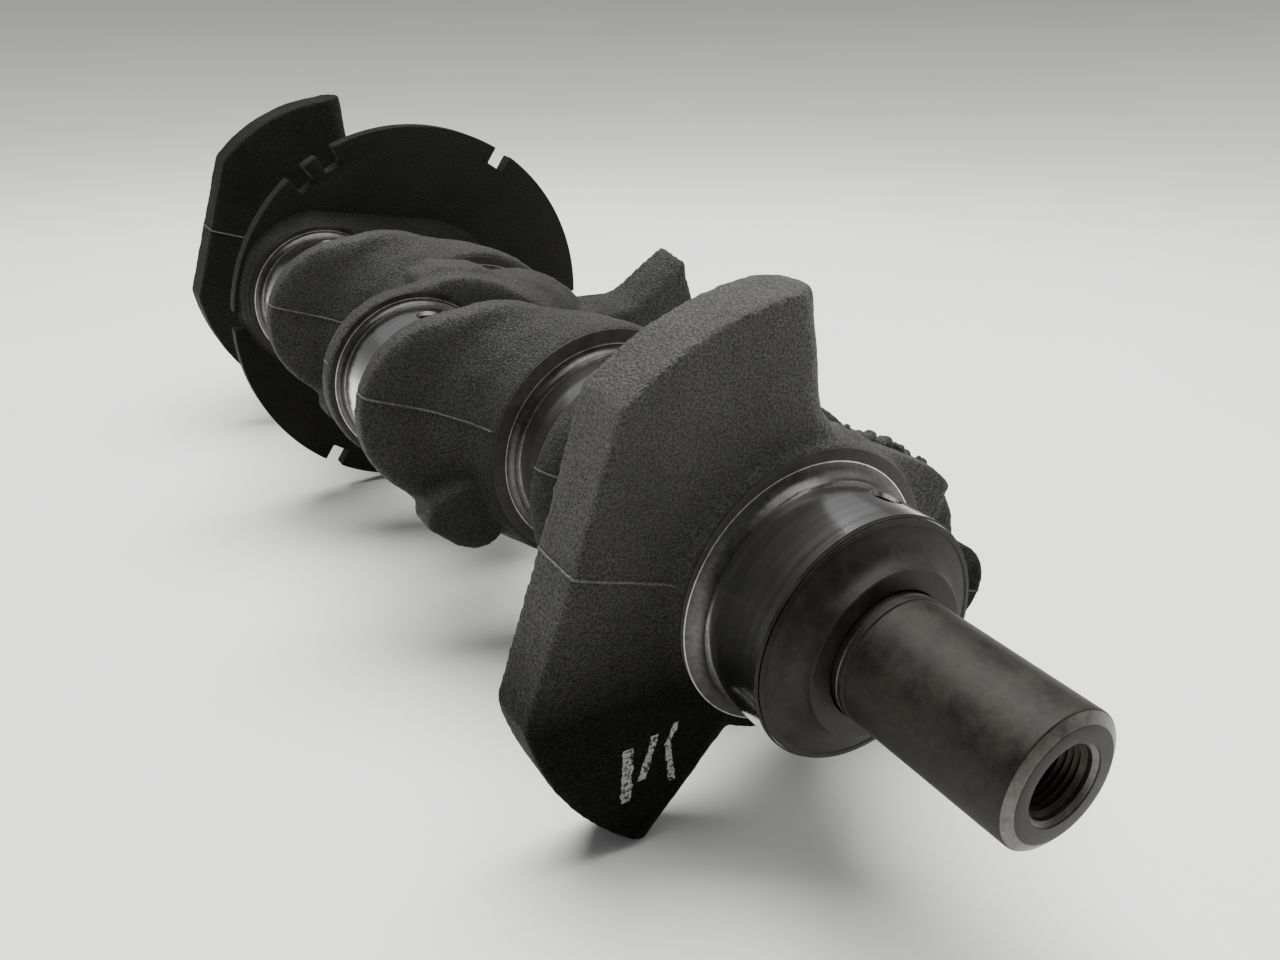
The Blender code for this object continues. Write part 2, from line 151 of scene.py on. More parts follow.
class Finish:
    """A Principled material with helpers for the procedural nodes that drive it."""

    def __init__(self, name, **constants):
        self.material = bpy.data.materials.new(name)
        self.material.use_nodes = True
        self.tree = self.material.node_tree
        self.shader = self.tree.nodes["Principled BSDF"]
        for socket, value in constants.items():
            self.shader.inputs[socket.replace("_", " ")].default_value = value
        self.coordinates = self.tree.nodes.new("ShaderNodeTexCoord").outputs["Object"]

    def add(self, kind, links=None, **settings):
        node = self.tree.nodes.new(kind)
        for key, value in settings.items():
            setattr(node, key, value)
        for socket, value in (links or {}).items():
            if isinstance(value, bpy.types.NodeSocket):
                self.tree.links.new(value, node.inputs[socket])
            else:
                node.inputs[socket].default_value = value
        return node

    def link(self, output, socket):
        self.tree.links.new(output, self.shader.inputs[socket])

    def scaled(self, stretch):
        links = {0: self.coordinates, 1: stretch}
        return self.add("ShaderNodeVectorMath", links, operation="MULTIPLY").outputs[0]

    def noise(self, size, detail=3.0, rough=0.55, vector=None):
        """Noise with features of a size in millimetres."""
        links = {
            "Vector": vector or self.coordinates,
            "Scale": 1.0 / size,
            "Detail": detail,
            "Roughness": rough,
        }
        return self.add("ShaderNodeTexNoise", links).outputs["Fac"]

    def ramp(self, factor, *stops):
        """A colour ramp through stops of (position, value or colour)."""
        node = self.add("ShaderNodeValToRGB", {"Fac": factor})
        ends = node.color_ramp.elements
        while len(ends) < len(stops):
            ends.new(0.5)
        for element, (position, value) in zip(ends, stops):
            element.position = position
            colour = value if isinstance(value, tuple) else (value,) * 3
            element.color = (*colour, 1.0)
        return node.outputs["Color"]

    def mix(self, factor, first, second, blend="MIX"):
        node = self.add("ShaderNodeMix", data_type="RGBA", blend_type=blend)
        for index, value in ((0, factor), (6, first), (7, second)):
            if isinstance(value, bpy.types.NodeSocket):
                self.tree.links.new(value, node.inputs[index])
            else:
                node.inputs[index].default_value = (*value, 1.0) if index else value
        return node.outputs[2]

    def maths(self, operation, first, second=0.0, third=0.0):
        node = self.add("ShaderNodeMath", operation=operation)
        for index, value in enumerate((first, second, third)):
            if isinstance(value, bpy.types.NodeSocket):
                self.tree.links.new(value, node.inputs[index])
            else:
                node.inputs[index].default_value = value
        return node.outputs[0]

    def bump(self, height, depth, strength=1.0, below=None):
        """Relief of a depth in millimetres."""
        links = {"Height": height, "Distance": depth * MM, "Strength": strength}
        if below is not None:
            links["Normal"] = below
        return self.add("ShaderNodeBump", links).outputs["Normal"]

    def radius(self):
        flat = self.scaled((1.0, 1.0, 0.0))
        return self.add("ShaderNodeVectorMath", {0: flat}, operation="LENGTH").outputs["Value"]

    def height(self):
        return self.add("ShaderNodeSeparateXYZ", {0: self.coordinates}).outputs["Z"]

    def stroke(self, start, end, width):
        """A ragged mask from one (x, y) point to another, near the front of the piece."""
        at = self.add("ShaderNodeSeparateXYZ", {0: self.coordinates}).outputs
        along = self.maths("DIVIDE", self.maths("SUBTRACT", at["Y"], start[1]), end[1] - start[1])
        centre = self.maths("MULTIPLY_ADD", along, end[0] - start[0], start[0])
        off = self.maths("ABSOLUTE", self.maths("SUBTRACT", at["X"], centre))
        off = self.maths("MULTIPLY_ADD", self.noise(2.5), 2.4, off)
        beside = self.maths("LESS_THAN", off, width / 2 + 1.2)
        left = self.maths("MULTIPLY", along, self.maths("SUBTRACT", 1.0, along))
        within = self.maths("GREATER_THAN", left, 0.0)
        front = self.maths("LESS_THAN", at["Z"], 8.0)
        worn = self.ramp(self.noise(1.0, 4.0, 0.7), (0.40, 0.0), (0.52, 0.85))
        mask = self.maths("MULTIPLY", beside, self.maths("MULTIPLY", within, front))
        return self.maths("MULTIPLY", mask, worn)


def cast_finish(name, dark, light, relief=0.8, above=0.95, below=0.6, marks=()):
    """Sand-cast iron skin: dark and grainy, with pale glint flecks and shade painted into its colour, its
    tone set above and below the crank axis.

    The marks are rubbed chalk strokes on the front side, each from one point to another.
    """
    finish = Finish(name, Metallic=0.15)
    grain = finish.noise(0.6, 3.0, 0.6)
    flecks = finish.noise(0.5, 2.0, 0.5)
    lumps = finish.noise(3.4, 2.0, 0.5)
    stain = finish.noise(26.0, 4.0, 0.6)
    half = tuple((a + b) / 2 for a, b in zip(dark, light))
    tone = finish.ramp(grain, (0.40, dark), (0.5, half), (0.6, light))
    # Painted highlight: pale flecks mixed into the base colour stand in for glint sparkles on the grain.
    painted_glints = finish.ramp(flecks, (0.68, 0.0), (0.74, 0.6))
    tone = finish.mix(painted_glints, tone, (0.17, 0.166, 0.15))
    # Painted shade: colour and specular are scaled by a ramp along the piece's own Y, which points down,
    # from the above level at the top to the below level at the bottom.
    down = finish.add("ShaderNodeSeparateXYZ", {0: finish.coordinates}).outputs["Y"]
    drop = finish.maths("MULTIPLY_ADD", down, 1.0 / 140.0, 0.5)
    shade = finish.ramp(drop, (0.1, above), (0.42, 0.6 * above + 0.4 * below), (0.62, below))
    blotch = finish.ramp(stain, (0.3, 0.7), (0.7, 1.2))
    tone = finish.mix(1.0, finish.mix(1.0, tone, shade, "MULTIPLY"), blotch, "MULTIPLY")
    for start, end, width in marks:
        tone = finish.mix(finish.stroke(start, end, width), tone, (0.42, 0.42, 0.40))
    finish.link(tone, "Base Color")
    finish.link(finish.maths("MULTIPLY", shade, 0.4), "Specular IOR Level")
    finish.link(finish.ramp(grain, (0.35, 0.8), (0.7, 0.5)), "Roughness")
    rough = finish.bump(lumps, 0.5, 0.6)
    finish.link(finish.bump(grain, relief, 1.0, rough), "Normal")
    return finish.material


def ground_finish(name):
    """A ground journal: bright steel with fine marks round it and faint darker bands."""
    finish = Finish(name, Metallic=1.0, Anisotropic=0.4)
    bands = finish.noise(2.2, 3.0, 0.6, finish.scaled((0.02, 0.02, 1.0)))
    lines = finish.noise(0.12, 2.0, 0.5, finish.scaled((0.004, 0.004, 1.0)))
    haze = finish.noise(9.0, 3.0, 0.6, finish.scaled((0.5, 0.5, 1.0)))
    steel = finish.ramp(bands, (0.3, (0.50, 0.495, 0.48)), (0.62, (0.70, 0.695, 0.68)))
    tint = finish.ramp(haze, (0.5, (1.0, 1.0, 1.0)), (0.85, (0.9, 0.84, 0.74)))
    finish.link(finish.mix(1.0, steel, tint, "MULTIPLY"), "Base Color")
    finish.link(finish.ramp(lines, (0.3, 0.11), (0.75, 0.22)), "Roughness")
    finish.link(finish.bump(lines, 0.003, 0.4), "Normal")
    tangent = finish.add("ShaderNodeTangent", direction_type="RADIAL", axis="Z")
    finish.link(tangent.outputs[0], "Tangent")
    return finish.material


def turned_finish(name, dark, light, roughness, metallic=0.85, pitch=0.35, depth=0.02):
    """A turned, oil-stained surface with tool marks that follow its radius and length."""
    finish = Finish(name, Metallic=metallic, Specular_IOR_Level=0.3)
    stain = finish.noise(9.0, 6.0, 0.68)
    specks = finish.noise(1.6, 4.0, 0.6)
    tone = finish.ramp(stain, (0.32, dark), (0.68, light))
    speckle = finish.ramp(specks, (0.3, 0.75), (0.6, 1.08))
    finish.link(finish.mix(1.0, tone, speckle, "MULTIPLY"), "Base Color")
    finish.link(finish.ramp(stain, (0.3, roughness - 0.08), (0.7, roughness + 0.1)), "Roughness")
    run = finish.maths("ADD", finish.radius(), finish.height())
    marks = finish.maths("SINE", finish.maths("MULTIPLY", run, math.tau / pitch))
    fine = finish.bump(specks, 0.03, 0.5)
    finish.link(finish.bump(marks, depth, 0.5, fine), "Normal")
    return finish


def floor_finish():
    """A plain pale floor with shade painted on it that darkens it far away."""
    finish = Finish("studio_floor", Roughness=0.55)
    soft = finish.noise(0.25, 3.0)
    pale = finish.ramp(soft, (0.3, (0.86, 0.86, 0.835)), (0.7, (0.90, 0.90, 0.875)))
    # Painted shade: the floor's colour darkens with distance from its centre.
    away = finish.maths("MULTIPLY", finish.radius(), 0.25)
    painted_falloff = finish.ramp(away, (0.15, 1.0), (0.35, 0.72), (0.6, 0.5))
    finish.link(finish.mix(1.0, pale, painted_falloff, "MULTIPLY"), "Base Color")
    finish.link(finish.bump(finish.noise(0.004), 0.2, 0.2), "Normal")
    return finish.material


CHALK = (
    ((-48.6, 29.9), (-49.3, 45.9), 3.0),
    ((-41.0, 28.6), (-44.7, 41.0), 2.2),
    ((-35.0, 27.1), (-37.3, 33.2), 1.9),
    ((-37.3, 33.0), (-35.9, 44.9), 1.9),
)
DARK_SKIN, LIGHT_SKIN = (0.014, 0.0137, 0.0121), (0.048, 0.047, 0.0415)
# The middle webs' skin is painted a little darker below the crank axis as shade.
CAST = cast_finish("cast_skin", DARK_SKIN, LIGHT_SKIN)
# The front web's skin has painted light on its top and deep painted shade below the axis, besides its real
# chalk strokes.
CAST_FRONT_CHALK_AND_PAINTED_SHADE = cast_finish("cast_skin_front_chalk_and_painted_shade", DARK_SKIN, LIGHT_SKIN, above=1.3, below=0.14, marks=CHALK)
# The rear pieces' skin is painted darker all over as shade, where the light falls off towards the back.
CAST_REAR_PAINTED_SHADE = cast_finish("cast_skin_rear_painted_shade", DARK_SKIN, LIGHT_SKIN, above=0.3, below=0.3)
SEAM_LINE = cast_finish("parting_line", (0.07, 0.068, 0.062), (0.13, 0.125, 0.115), 0.2)
GROUND = ground_finish("ground_journal")
RING = turned_finish("machined_ring", (0.022, 0.02, 0.017), (0.05, 0.046, 0.04), 0.55, 0.3).material
FILLET = turned_finish("rolled_fillet", (0.05, 0.048, 0.045), (0.10, 0.098, 0.092), 0.32).material
TURNED = turned_finish("turned_iron", (0.009, 0.008, 0.0068), (0.034, 0.030, 0.025), 0.54, 0.5).material
BRIGHT = turned_finish("bright_edge", (0.07, 0.066, 0.058), (0.15, 0.143, 0.13), 0.4).material
# Near-black painted shade for the deep walls of the oil holes.
PAINTED_HOLE_SHADE = cast_finish("oil_passage_painted_shade", (0.002, 0.002, 0.002), (0.004, 0.004, 0.004), above=0.2, below=0.2)
EDGE = turned_finish("fillet_edge", (0.36, 0.35, 0.33), (0.6, 0.59, 0.56), 0.3).material
THREAD = turned_finish("bore_thread", (0.02, 0.017, 0.014), (0.06, 0.053, 0.045), 0.5).material
TURNING = (TURNED, BRIGHT, THREAD)
GRINDING = (GROUND, FILLET, RING, TURNED, EDGE, PAINTED_HOLE_SHADE)


# Shapes


def upright(place):
    """A frame at a place's origin, in millimetres, with X as in the row and Z rearward."""
    return Matrix.Translation(place.translation) @ Matrix.Rotation(-math.pi / 2, 4, "X") @ SCALE


def as_object(name, mesh, place, materials, corner=None):
    """A mesh as an object in its place, shaded smooth up to a corner angle."""
    item = bpy.data.objects.new(name, mesh)
    bpy.context.scene.collection.objects.link(item)
    item.matrix_world = upright(place)
    mesh.transform(upright(place).inverted() @ place)
    for material in materials:
        mesh.materials.append(material)
    mesh.shade_smooth()
    if corner is not None:
        mesh.set_sharp_from_angle(angle=math.radians(corner))
    return item


def bake(item):
    """Apply an object's modifiers to its mesh."""
    bpy.context.view_layer.update()
    view = item.evaluated_get(bpy.context.evaluated_depsgraph_get())
    mesh = bpy.data.meshes.new_from_object(view)
    item.modifiers.clear()
    item.data = mesh
    return item


def modifier(item, kind, **settings):
    step = item.modifiers.new(kind.lower(), kind)
    for key, value in settings.items():
        setattr(step, key, value)
    return step


def lathe(name, rows, place, materials, steps=LATHE_STEPS, corner=28.0):
    """Turn rows of (radius, height, finish, shift) round Z, from the front face to the rear.

    The finish is the material of the band that starts at the row, and the optional shift
    moves the row's circle off the axis.
    """
    work = bmesh.new()
    rings = []
    for row in rows:
        radius, height = row[:2]
        shift = row[3] if len(row) > 3 else (0.0, 0.0)
        if radius == 0.0:
            rings.append([work.verts.new((*shift, height))])
            continue
        ring = []
        for i in range(steps):
            turn = math.tau * i / steps
            x = shift[0] + radius * math.cos(turn)
            y = shift[1] + radius * math.sin(turn)
            ring.append(work.verts.new((x, y, height)))
        rings.append(ring)
    for row, first, second in zip(rows, rings, rings[1:]):
        for i in range(steps):
            j = (i + 1) % steps
            if len(first) == 1:
                corners = (first[0], second[j], second[i])
            elif len(second) == 1:
                corners = (first[i], first[j], second[0])
            else:
                corners = (first[i], first[j], second[j], second[i])
            work.faces.new(corners).material_index = row[2]
    mesh = bpy.data.meshes.new(name)
    work.to_mesh(mesh)
    work.free()
    return as_object(name, mesh, place, materials, corner)


def bore(item, rows, place, steps=32):
    """Cut a turned hole out of an object, with its finish from the rows."""
    cutter = lathe("cutter", rows, place, item.data.materials, steps)
    modifier(item, "BOOLEAN", operation="DIFFERENCE", solver="EXACT", object=cutter)
    bake(item)
    bpy.data.objects.remove(cutter, do_unlink=True)
    item.data.set_sharp_from_angle(angle=math.radians(28.0))


def rounded(corners):
    """A closed outline from corners of (x, y) or (x, y, rounding)."""
    points = []
    count = len(corners)
    for i, corner in enumerate(corners):
        here = Vector(corner[:2])
        if len(corner) == 2:
            points.append(tuple(here))
            continue
        before = Vector(corners[i - 1][:2]) - here
        after = Vector(corners[(i + 1) % count][:2]) - here
        half = before.angle(after) / 2
        reach = min(corner[2] / math.tan(half), before.length * 0.49, after.length * 0.49)
        start = here + before.normalized() * reach
        end = here + after.normalized() * reach
        for k in range(5):
            u = k / 4
            points.append(tuple(start * (1 - u) ** 2 + here * 2 * u * (1 - u) + end * u**2))
    return points


def skin(work, rings):
    """Close a stack of rings, each a list of (x, y, z), into a solid."""
    stack = [[work.verts.new(point) for point in ring] for ring in rings]
    count = len(stack[0])
    for lower, upper in zip(stack, stack[1:]):
        for i in range(count):
            j = (i + 1) % count
            work.faces.new((lower[i], lower[j], upper[j], upper[i]))
    work.faces.new(list(reversed(stack[0])))
    work.faces.new(stack[-1])


def slab(work, low, high, corners, far_corners=None):
    """A flat outline from one depth to another, whose far outline may differ."""
    near = [(x, y, low) for x, y in rounded(corners)]
    far = [(x, y, high) for x, y in rounded(far_corners or corners)]
    skin(work, [near, far])


def boss(work, centre, radius, low, high, steps=40):
    """A round pad with softened ends."""
    rings = []
    for depth, inset in ((low, 1.4), (low + 0.6, 0.3), (low + 1.6, 0.0), (high, 0.0)):
        ring = []
        for i in range(steps):
            turn = math.tau * i / steps
            x = centre[0] + (radius - inset) * math.cos(turn)
            y = centre[1] + (radius - inset) * math.sin(turn)
            ring.append((x, y, depth))
        rings.append(ring)
    skin(work, rings)


def arc(radius, start, end, step=3.0):
    count = max(1, round(abs(end - start) / step))
    angles = [math.radians(start + (end - start) * i / count) for i in range(count + 1)]
    return [(radius * math.cos(a), radius * math.sin(a)) for a in angles]


def hull_ring(circles, depth, flat, steps=96):
    """The outline round circles of (x, y, radius), cut off flat at the pin's end."""
    ring = []
    for i in range(steps):
        turn = math.tau * (i + 0.5) / steps
        along = (math.cos(turn), math.sin(turn))
        x, y, radius = max(circles, key=lambda c: c[0] * along[0] + c[1] * along[1] + c[2])
        ring.append((min(x + radius * along[0], flat), y + radius * along[1], depth))
    return ring


def between(rows, depth):
    """Values of a table of rows at a depth between two of them."""
    for first, second in zip(rows, rows[1:]):
        if depth <= second[0]:
            u = (depth - first[0]) / (second[0] - first[0])
            return [a + (b - a) * u for a, b in zip(first[1:], second[1:])]
    return list(rows[-1][1:])


def web_body(work, rows, thickness):
    """The web from its main journal's face to the crankpin's face."""
    rings = []
    stretch = thickness / rows[-1][0]
    low, high = rows[0][0], rows[-1][0]
    for i in range(27):
        depth = low + (high - low) * i / 26
        reach, radius, shift = between(rows, depth)
        circles = [(min(shift, reach - radius), 0.0, radius)]
        for centre, size in (WAIST, (THROW, PIN_BOSS)):
            moved = min(centre, reach - size)
            if moved > shift and depth < high - 1.0:
                circles.append((moved, 0.0, size))
        if depth >= high - 1.0:
            circles.append((THROW, 0.0, PIN_BOSS))
        rings.append(hull_ring(circles, depth * stretch, THROW_FLAT))
    skin(work, rings)


def weight(work, lower_edge, upper_edge, flat, layers, rim=(RIM_RADIUS, 0.0), thinner=0.0):
    """A counterweight opposite the pin, in layers of (depth, inset of both tip walls).

    Each edge runs from its tip on the rim to the flank, as (along, across, rounding) round
    the weight's axis, at negative Y and at positive Y. The rim has a radius and a shift. The
    weight is thinner towards its tip at positive Y.
    """
    radius, shift = rim
    rings = []
    for depth, inset in layers:
        edges = []
        for edge in (lower_edge, upper_edge):
            moved = [(x + inset, y - 0.45 * inset, turn) for x, y, turn in edge[:-1]]
            edges.append([*moved, edge[-1]])
        ends = [math.degrees(math.atan2(edge[0][1], edge[0][0] - shift)) - 2.5 for edge in edges]
        if flat is None:
            curve = arc(radius, -ends[0], ends[1])
        else:
            corner = math.degrees(math.acos((flat - shift) / radius))
            curve = arc(radius, -ends[0], -corner) + arc(radius, corner, ends[1])
        steps = [curve[round(i * (len(curve) - 1) / 47)] for i in range(48)]
        outline = [(x, -y, turn) for x, y, turn in reversed(edges[0])]
        outline += [(x + shift, y) for x, y in steps]
        outline += edges[1]
        less = thinner * depth / layers[-1][0]
        rings.append([(-x, y, depth - less * min(max(y / 35.0, 0.0), 1.0)) for x, y in rounded(outline)])
    skin(work, rings)


def flash(name, seed, points, size, place, material):
    """Lumps left by the mould along a line of (x, y, z) points, fused to each other."""
    chance = random.Random(seed)
    work = bmesh.new()
    for start, end in zip(points, points[1:]):
        start, end = Vector(start), Vector(end)
        count = max(2, round((end - start).length / size * 1.2))
        for i in range(count):
            at = start.lerp(end, (i + chance.random()) / count)
            jitter = Vector([chance.uniform(-0.6, 0.6) * size for _ in range(3)])
            stretch = Matrix.Diagonal([chance.uniform(0.6, 1.2) for _ in range(3)]).to_4x4()
            matrix = Matrix.Translation(at + jitter) @ stretch
            bmesh.ops.create_icosphere(work, subdivisions=2, radius=size, matrix=matrix)
    piece = casting(name, work, place, (material,), soften=1, voxel=0.5)
    finish_piece(piece, "cast_iron")


def casting(name, work, place, materials=(CAST,), soften=4, voxel=VOXEL):
    """Fuse a bmesh's overlapping solids into one skin, soften it and roughen it like sand."""
    bmesh.ops.recalc_face_normals(work, faces=work.faces)
    mesh = bpy.data.meshes.new(name)
    work.to_mesh(mesh)
    work.free()
    item = as_object(name, mesh, place, materials)
    modifier(item, "REMESH", mode="VOXEL", voxel_size=voxel, use_smooth_shade=True)
    modifier(item, "SMOOTH", factor=0.5, iterations=soften)
    for texture, strength in SAND:
        modifier(item, "DISPLACE", texture=texture, strength=strength, mid_level=0.5)
    return bake(item)


def finish_piece(item, slot, *nodes):
    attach(item, "root")
    if nodes:
        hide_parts(*nodes)


def sand(name, size):
    texture = bpy.data.textures.new(name, "CLOUDS")
    texture.noise_scale = size
    texture.noise_depth = 2
    return texture


SAND = ((sand("sand_coarse", 9.0), 0.5), (sand("sand_fine", 2.2), 0.35))


def parting_line(item, place, keep):
    """The thin ridge where the mould's halves met, along a place's Y = 0 plane."""
    work = bmesh.new()
    work.from_mesh(item.data)
    work.transform(place.inverted() @ item.matrix_world)
    geometry = [*work.verts, *work.edges, *work.faces]
    found = bmesh.ops.bisect_plane(work, geom=geometry, plane_co=(0, 0, 0), plane_no=(0, 1, 0))
    cut = [e for e in found["geom_cut"] if isinstance(e, bmesh.types.BMEdge)]
    kept = {e for e in cut if all(keep(v.co) for v in e.verts)}
    bmesh.ops.delete(work, geom=[e for e in work.edges if e not in kept], context="EDGES")
    bmesh.ops.delete(work, geom=[v for v in work.verts if not v.link_edges], context="VERTS")
    mesh = bpy.data.meshes.new(item.name + "_seam")
    work.to_mesh(mesh)
    work.free()
    line = as_object(item.name + "_seam", mesh, place, (SEAM_LINE,))
    bpy.ops.object.select_all(action="DESELECT")
    bpy.context.view_layer.objects.active = line
    line.select_set(True)
    bpy.ops.object.convert(target="CURVE")
    line.data.bevel_depth = FLASH_RADIUS
    line.data.bevel_resolution = 1
    line.data.materials.clear()
    line.data.materials.append(SEAM_LINE)
    return line


# Turned front end and rear end


def make_snout():
    low, high = span("snout")
    rows = [(0.0, 40.0, 2), (7.6, 38.0, 2)]
    depth = 37.0
    while depth > 3.0:
        rows += [(8.65, depth, 2), (7.95, depth - THREAD_PITCH / 2, 2)]
        depth -= THREAD_PITCH
    rows += [
        (8.7, 2.2, 0),
        (8.8, 1.2, 1),
        (9.6, 0.25, 0),
        (9.9, 0.0, 0),
        (13.3, 0.0, 0),
        (13.6, 0.12, 1),
        (15.9, 1.45, 0),
        (16.18, 1.75, 0),
        (16.24, 2.2, 0),
    ]
    rows += [(16.24, 4.0 + 4.0 * i, 0) for i in range(10)]
    rows += [
        (16.24, 44.8, 0),
        (15.9, 45.1, 0),
        (15.9, 46.3, 0),
        (16.3, 46.6, 0),
        (16.3, 47.9, 1),
        (16.05, 48.1, 1),
        (16.3, 48.3, 0),
        (16.3, 48.8, 1),
        (16.0, 49.0, 0),
        (16.0, 50.4, 0),
        (16.0, high, 0),
        (0.0, high, 0),
    ]
    snout = lathe("snout_turned", rows, shaft_at(low), TURNING)
    work = bmesh.new()
    slab(work, -2.0, 24.0, [(13.6, -2.4), (19.0, -2.4), (19.0, 2.4), (13.6, 2.4)])
    mesh = bpy.data.meshes.new("keyway")
    work.to_mesh(mesh)
    work.free()
    cutter = as_object("keyway", mesh, shaft_at(low), TURNING)
    modifier(snout, "BOOLEAN", operation="DIFFERENCE", solver="EXACT", object=cutter)
    bake(snout)
    bpy.data.objects.remove(cutter, do_unlink=True)
    snout.data.set_sharp_from_angle(angle=math.radians(28.0))
    finish_piece(snout, "machined_iron", "snout")


def make_hub():
    low, high = span("front_hub")
    rows = [
        (16.2, high - low, 0),
        (16.2, 0.6, 0),
        (16.6, 0.0, 0),
        (21.5, 0.0, 0),
        (21.7, 0.2, 0),
        (21.7, 1.5, 0),
        (21.9, 2.4, 0),
        (22.5, 3.5, 0),
        (23.5, 4.5, 0),
        (24.8, 5.2, 0),
        (26.2, 5.6, 0),
        (29.2, 5.95, 0),
        (29.45, 6.1, 0),
        (29.8, 6.1, 0),
        (30.0, 5.95, 0),
        (31.1, 6.05, 0),
        (31.1, high - low, 0),
        (16.2, high - low, 0),
    ]
    hub = lathe("hub_turned", rows, shaft_at(low), TURNING)
    finish_piece(hub, "machined_iron", "front_hub")


def journal_rows(length, radius, ring, lip, collar, front_lean, rear_lean, front=True):
    """A journal's rows, from a ring on the front web's face to a ring on the rear web's.

    The lip is the fillet's radius and the collar is the finish of the rings.
    """
    turns = [math.radians(90.0 * i / 7) for i in range(8)]
    fillet = [(radius + lip * (1 - math.sin(a)), 0.3 + lip * (1 - math.cos(a))) for a in turns]
    edge = radius + lip + 0.3
    rows = [(0.0, 0.1, 0)]
    if front:
        rows += [(ring, -0.4, collar, front_lean), (ring, 0.1, collar, front_lean)]
        rows += [(ring - 0.3, 0.25, collar, front_lean), (edge, 0.25, 4)]
        rows += [(out, deep, 1) for out, deep in fillet]
    else:
        rows += [(radius - 0.5, 0.1, 3), (radius - 0.5, 0.3, 3), (radius, 0.75, 0)]
    start, end = lip + 1.0, length - lip - 1.0
    rows += [(radius, start + (end - start) * i / 12, 0) for i in range(13)]
    rows += [(out, length - deep, 1) for out, deep in reversed(fillet[1:])]
    rows += [(fillet[0][0], length - fillet[0][1], 4), (edge, length - 0.25, collar)]
    rows += [(ring - 0.3, length - 0.25, collar, rear_lean), (ring, length - 0.1, collar, rear_lean)]
    rows += [(ring, length + 0.4, collar, rear_lean), (0.0, length - 0.1, 0)]
    return rows


def oil_hole(item, place, angle, radius, height):
    """A radial oil hole with a countersunk mouth."""
    outward = place @ Matrix.Rotation(math.radians(angle), 4, "Z") @ Matrix.Translation((radius, 0, height))
    outward = outward @ Matrix.Rotation(math.pi / 2, 4, "Y")
    # Finish 5, the near-black painted shade, lines the deep part of the hole.
    rows = [
        (0.0, -11.0, 5),
        (OIL_HOLE, -10.0, 5),
        (OIL_HOLE, -1.0, 1),
        (OIL_CHAMFER, 0.35, 1),
        (OIL_CHAMFER, 4.0, 1),
        (0.0, 4.0, 1),
    ]
    bore(item, rows, outward)


MAIN_NEIGHBOURS = (
    ("front_hub", "web_1"),
    ("web_2", "web_3"),
    ("web_4", "web_5"),
    ("disc_boss", "web_7"),
    ("web_8", "rear_collar"),
)
MAIN_LEANS = (
    ((0.0, 0.0), (0.2, -1.7)),
    ((0.8, 0.9), (-0.4, -0.6)),
    ((0.6, 1.0), (-1.2, 0.8)),
    ((0.0, 0.0), (1.0, -1.0)),
    ((0.8, 0.9), (0.0, 0.0)),
)
MAIN_OIL_ANGLE = -88.0
PIN_OIL_ANGLE = 73.0


def make_journals():
    for number, (front, rear) in enumerate(MAIN_NEIGHBOURS, start=1):
        node = f"main_journal_{number}"
        low, high = face(front, node), face(node, rear)
        ring = 36.8 if number in (1, 5) else MAIN_RING
        if number == 4:
            ring = 37.6
        ends = MAIN_LEANS[number - 1]
        lip = 3.4 if number == 1 else 2.2
        rows = journal_rows(high - low, MAIN_RADIUS, ring, lip, 2, *ends, number > 1)
        journal = lathe(node + "_ground", rows, shaft_at(low), GRINDING)
        oil_hole(journal, shaft_at(low), MAIN_OIL_ANGLE, MAIN_RADIUS, (high - low) / 2 - 1.0)
        finish_piece(journal, "ground_steel", node)
    for number in range(1, 5):
        node = f"crankpin_{number}"
        low = face(f"web_{2 * number - 1}", node)
        high = face(node, f"web_{2 * number}")
        sign = throw_sign(number)
        place = shaft_at(low, sign * THROW)
        lean = (-sign * 0.5, 0.0)
        rows = journal_rows(high - low, PIN_RADIUS, PIN_RING, 1.4, 3, lean, lean)
        pin = lathe(node + "_ground", rows, place, GRINDING)
        outward = PIN_OIL_ANGLE if sign > 0 else 180.0 + PIN_OIL_ANGLE
        oil_hole(pin, place, outward, PIN_RADIUS, (high - low) / 2 - 1.8)
        finish_piece(pin, "ground_steel", node)


